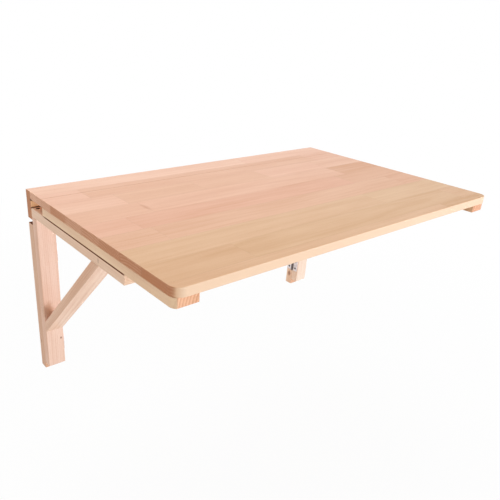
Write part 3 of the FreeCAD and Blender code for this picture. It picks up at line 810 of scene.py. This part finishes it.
def addPlate(bm, size):  # the flat of a wing, in the plane of Y and Z, with countersunk holes
    look = hingeLook
    near = size["barrel"] + look["relief"]
    middle = (near + size["wing"]) / 2
    halfWide = (size["wing"] - near) / 2
    halfLong = size["long"] / 2
    outlines = []
    mouths = []
    for level, radius in ((-size["barrel"], look["hole"]), (look["plate"] - size["barrel"], look["sink"])):
        place = Matrix(((0, 0, 1, level), (halfWide, 0, 0, middle), (0, halfLong, 0, 0), (0, 0, 0, 1)))
        outer = [vert for vert in addSquare(bm, place) if vert.co.y > middle]
        soften(bm, outer, look["corner"], look["cornerSteps"], "VERTICES")
        outlines.append(atLevel(bm.edges, level))
        bmesh.ops.delete(bm, geom=atLevel(bm.faces, level), context="FACES_ONLY")
        circles = []
        for z in size["holes"]:
            place = Matrix.Translation((level, size["row"], z)) @ Matrix.Rotation(math.radians(90), 4, "Y")
            made = bmesh.ops.create_circle(bm, cap_ends=False, radius=radius, segments=look["holeSides"],
                                           matrix=place)["verts"]
            circles.append(list({edge for vert in made for edge in vert.link_edges}))
        mouths.append(circles)
    for outline, circles in zip(outlines, mouths):
        around = outline + [edge for circle in circles for edge in circle]
        bmesh.ops.triangle_fill(bm, use_beauty=True, edges=around)
    bmesh.ops.bridge_loops(bm, edges=outlines[0] + outlines[1])
    for low, high in zip(*mouths):
        bmesh.ops.bridge_loops(bm, edges=low + high)


def addKnuckle(bm, size, low, high):
    look = hingeLook
    sheet = size["barrel"] - size["pin"] - look["play"]
    near = size["barrel"] + look["relief"] + look["rollStart"]
    place = Matrix(((sheet / 2, 0, 0, sheet / 2 - size["barrel"]), (0, 0, 1, near),
                    (0, (high - low) / 2, 0, (high + low) / 2), (0, 0, 0, 1)))
    start = addSquare(bm, place)[0].link_faces[0]
    grown = bmesh.ops.extrude_face_region(bm, geom=[start])["geom"]
    moved = [item for item in grown if isinstance(item, bmesh.types.BMVert)]
    bmesh.ops.translate(bm, vec=(0, -near, 0), verts=moved)
    end = [item for item in grown if isinstance(item, bmesh.types.BMFace)]
    bmesh.ops.spin(bm, geom=end, cent=(0, 0, 0), axis=(0, 0, 1), angle=math.radians(look["roll"]),
                   steps=look["rollSteps"])


def makeWing(kind, first):  # the first wing lies towards the wall and has the outer knuckles
    look = hingeLook
    size = look[kind]
    bm = bmesh.new()
    addPlate(bm, size)
    step = size["long"] / look["knuckles"]
    for number in range(0 if first else 1, look["knuckles"], 2):
        low = number * step - size["long"] / 2
        high = low + step
        if number > 0:
            low += look["gap"] / 2
        if number < look["knuckles"] - 1:
            high -= look["gap"] / 2
        addKnuckle(bm, size, low, high)
    if not first:
        bmesh.ops.scale(bm, vec=(1, -1, 1), verts=bm.verts)
    bmesh.ops.recalc_face_normals(bm, faces=bm.faces)
    soften(bm, sharpEdges(bm), look["softEdge"], look["softSteps"])
    return bm


def addRod(bm, radius, depth, place):
    return bmesh.ops.create_cone(bm, cap_ends=True, segments=hingeLook["pinSides"], radius1=radius,
                                 radius2=radius, depth=depth, matrix=place)["verts"]


def makePin(kind):
    look = hingeLook
    size = look[kind]
    lip = look["headLip"]
    bm = bmesh.new()
    addRod(bm, size["pin"], size["long"], Matrix())
    for end in (1, -1):
        place = Matrix.Translation((0, 0, end * (size["long"] / 2 + look["play"] + lip / 2)))
        made = addRod(bm, size["pin"] + lip, lip, place)
        outer = [vert for vert in made if abs(vert.co.z) > size["long"] / 2 + lip / 2]
        rim = [edge for edge in bm.edges if edge.verts[0] in outer and edge.verts[1] in outer]
        soften(bm, rim, lip * look["headRound"], look["headSteps"])
    return bm


def putPiece(bm, place, name, body, node, material):
    bm.transform(place)
    bmesh.ops.recalc_face_normals(bm, faces=bm.faces)
    for face in bm.faces:
        face.smooth = True
    for edge in sharpEdges(bm):
        edge.smooth = False
    mesh = bpy.data.meshes.new(name)
    bm.to_mesh(mesh)
    bm.free()
    mesh.materials.append(material)
    item = bpy.data.objects.new(name, mesh)
    bpy.context.scene.collection.objects.link(item)
    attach(item, body)
    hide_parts(node)


def putHinge(family, kind, turn, words, bodies, steel):
    low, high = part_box(f"{family}_pin")
    place = Matrix.Translation((low + high) / 2) @ turn
    for word, body, first in zip(words, bodies, (True, False)):
        node = f"{family}_{word}"
        dress(node, steel)
        putPiece(makeWing(kind, first), place, f"rolled_{node}", body, node, steel)
    node = f"{family}_pin"
    dress(node, steel)
    putPiece(makePin(kind), place, f"headed_{node}", "wall_frame", node, steel)


screwSteel = makeSteel("screw_steel", *steelLook["screws"])
hingeScrewSteel = makeSteel("hinge_screw_steel", *steelLook["hingeScrews"])
for name in nodes:
    if "screws" in name:
        dress(name, hingeScrewSteel if "hinge" in name else screwSteel)

foldTurn = Matrix(((0, 0, 1, 0), (0, 1, 0, 0), (-1, 0, 0, 0), (0, 0, 0, 1)))
foldSteel = makeSteel("fold_hinge_steel", *steelLook["hinges"], hingeLook["foldPin"], (0, 1, 1))
for number in (1, 2, 3):
    putHinge(f"fold_hinge_{number}", "fold", foldTurn, ("strip_wing", "leaf_wing"), ("wall_frame", "leaf"),
             foldSteel)

for side, sign in (("left", -1), ("right", 1)):
    x, y, z = hingeLook["sidePin"]
    steel = makeSteel(f"side_hinge_{side}_steel", *steelLook["hinges"], (sign * x, y, z), (1, 1, 0))
    sideTurn = Matrix.Rotation(math.radians(90 * (sign + 1)), 4, "Y")
    for level in ("upper", "lower"):
        putHinge(f"side_hinge_{side}_{level}", "side", sideTurn, ("post_wing", "bracket_wing"),
                 ("wall_frame", f"bracket_{side}"), steel)
print("steel finished")


# Studio

def seenByLens(tree):  # camera, mirror and glass rays, which meet a plain white background
    path = tree.nodes.new("ShaderNodeLightPath").outputs
    mirror = calc(tree, "MAXIMUM", path["Is Glossy Ray"], path["Is Transmission Ray"])
    return calc(tree, "MAXIMUM", path["Is Camera Ray"], mirror)


floorLook = {
    "level": -0.7135,  # a desk top is about 0.75 m above the floor
    "halfSize": 40,
    "colour": (0.9, 0.9, 0.9, 1),
    "roughness": 0.95,
    "white": (0.6, 2.2, 0.94, 1),  # two distances from the middle, and the share of plain white at each
}


def makeFloor():
    look = floorLook
    bm = bmesh.new()
    bmesh.ops.create_grid(bm, x_segments=1, y_segments=1, size=look["halfSize"])
    bmesh.ops.translate(bm, vec=(0, 0, look["level"]), verts=bm.verts)
    mesh = bpy.data.meshes.new("floor")
    bm.to_mesh(mesh)
    bm.free()
    floor = bpy.data.objects.new("floor", mesh)
    bpy.context.scene.collection.objects.link(floor)
    material, tree, shader, place = newMaterial("floor_white")
    shader.inputs["Base Color"].default_value = look["colour"]
    shader.inputs["Roughness"].default_value = look["roughness"]
    shader.inputs["Specular IOR Level"].default_value = 0
    away = vectorLength(tree, vectorCalc(tree, "MULTIPLY", place, (1, 1, 0)))
    glow = addNode(tree, "ShaderNodeEmission", {"Color": (1, 1, 1, 1), "Strength": 1})
    share = calc(tree, "MULTIPLY", seenByLens(tree), fade(tree, away, *look["white"]))
    mix = addNode(tree, "ShaderNodeMixShader", {0: share, 1: shader.outputs[0], 2: glow.outputs[0]})
    below = tree.nodes.new("ShaderNodeNewGeometry").outputs["Backfacing"]
    clear = tree.nodes.new("ShaderNodeBsdfTransparent").outputs[0]  # a view from below sees through the floor
    seen = addNode(tree, "ShaderNodeMixShader", {0: below, 1: mix.outputs[0], 2: clear})
    tree.links.new(seen.outputs[0], tree.nodes["Material Output"].inputs["Surface"])
    mesh.materials.append(material)


worldLook = {"ambient": 0.66}


def makeWorld():
    ambient = worldLook["ambient"]
    world = bpy.data.worlds.new("studio")
    bpy.context.scene.world = world
    world.use_nodes = True
    tree = world.node_tree
    strength = calc(tree, "MULTIPLY_ADD", seenByLens(tree), 1 - ambient, ambient)
    background = tree.nodes["Background"]
    background.inputs["Color"].default_value = (1, 1, 1, 1)
    tree.links.new(strength, background.inputs["Strength"])


lampLook = {
    "key": {"place": (3.1, -3.9, -0.20), "target": (0, -0.2, -0.05), "size": 1.1, "power": 120},
    "top": {"place": (-0.3, 0.1, 2.4), "target": (0, -0.25, 0), "size": 1.6, "power": 22},
    "fill": {"place": (-2.8, -0.6, 0.1), "target": (0, -0.3, 0), "size": 1.4, "power": 3.5},
}
beamLook = {  # narrow, so that it lights only the inner side of the right leg
    "place": (-0.25, -0.04, -0.35),
    "target": (0.38, -0.02, -0.30),
    "size": 0.02,
    "power": 2,
    "cone": 22,
    "blend": 0.5,
}


def putLamp(lamp, look):
    lamp.energy = look["power"]
    item = bpy.data.objects.new(lamp.name, lamp)
    item.location = look["place"]
    towards = Vector(look["target"]) - Vector(look["place"])
    item.rotation_euler = towards.to_track_quat("-Z", "Y").to_euler()
    bpy.context.scene.collection.objects.link(item)
    return item


def addDisk(name):
    lamp = bpy.data.lights.new(name, "AREA")
    lamp.shape = "DISK"
    lamp.size = lampLook[name]["size"]
    putLamp(lamp, lampLook[name])


def addBeam():
    look = beamLook
    lamp = bpy.data.lights.new("beam", "SPOT")
    lamp.spot_size = math.radians(look["cone"])
    lamp.spot_blend = look["blend"]
    lamp.shadow_soft_size = look["size"]
    item = putLamp(lamp, look)
    item.visible_camera = False
    item.visible_glossy = False


cameraLook = {
    "place": (-0.76040, -1.00446, 0.35625),
    "right": (0.787055, -0.615098, 0.046888),
    "down": (-0.225602, -0.357746, -0.906158),
    "lens": 39.497,
    "shift": (0.0831, 0.0357),
    "nearest": 0.01,
}


def makeCamera():
    look = cameraLook
    camera = bpy.data.cameras.new("camera")
    camera.lens = look["lens"]
    camera.shift_x, camera.shift_y = look["shift"]
    camera.clip_start = look["nearest"]
    item = bpy.data.objects.new("camera", camera)
    right = Vector(look["right"]).normalized()
    back = right.cross(-Vector(look["down"])).normalized()
    turn = Matrix((right, back.cross(right), back)).transposed()
    item.matrix_world = Matrix.Translation(look["place"]) @ turn.to_4x4()
    bpy.context.scene.collection.objects.link(item)
    bpy.context.scene.camera = item


makeFloor()
makeWorld()
for name in lampLook:
    addDisk(name)
addBeam()
makeCamera()
bpy.context.scene.view_settings.view_transform = "Standard"
print("studio made")
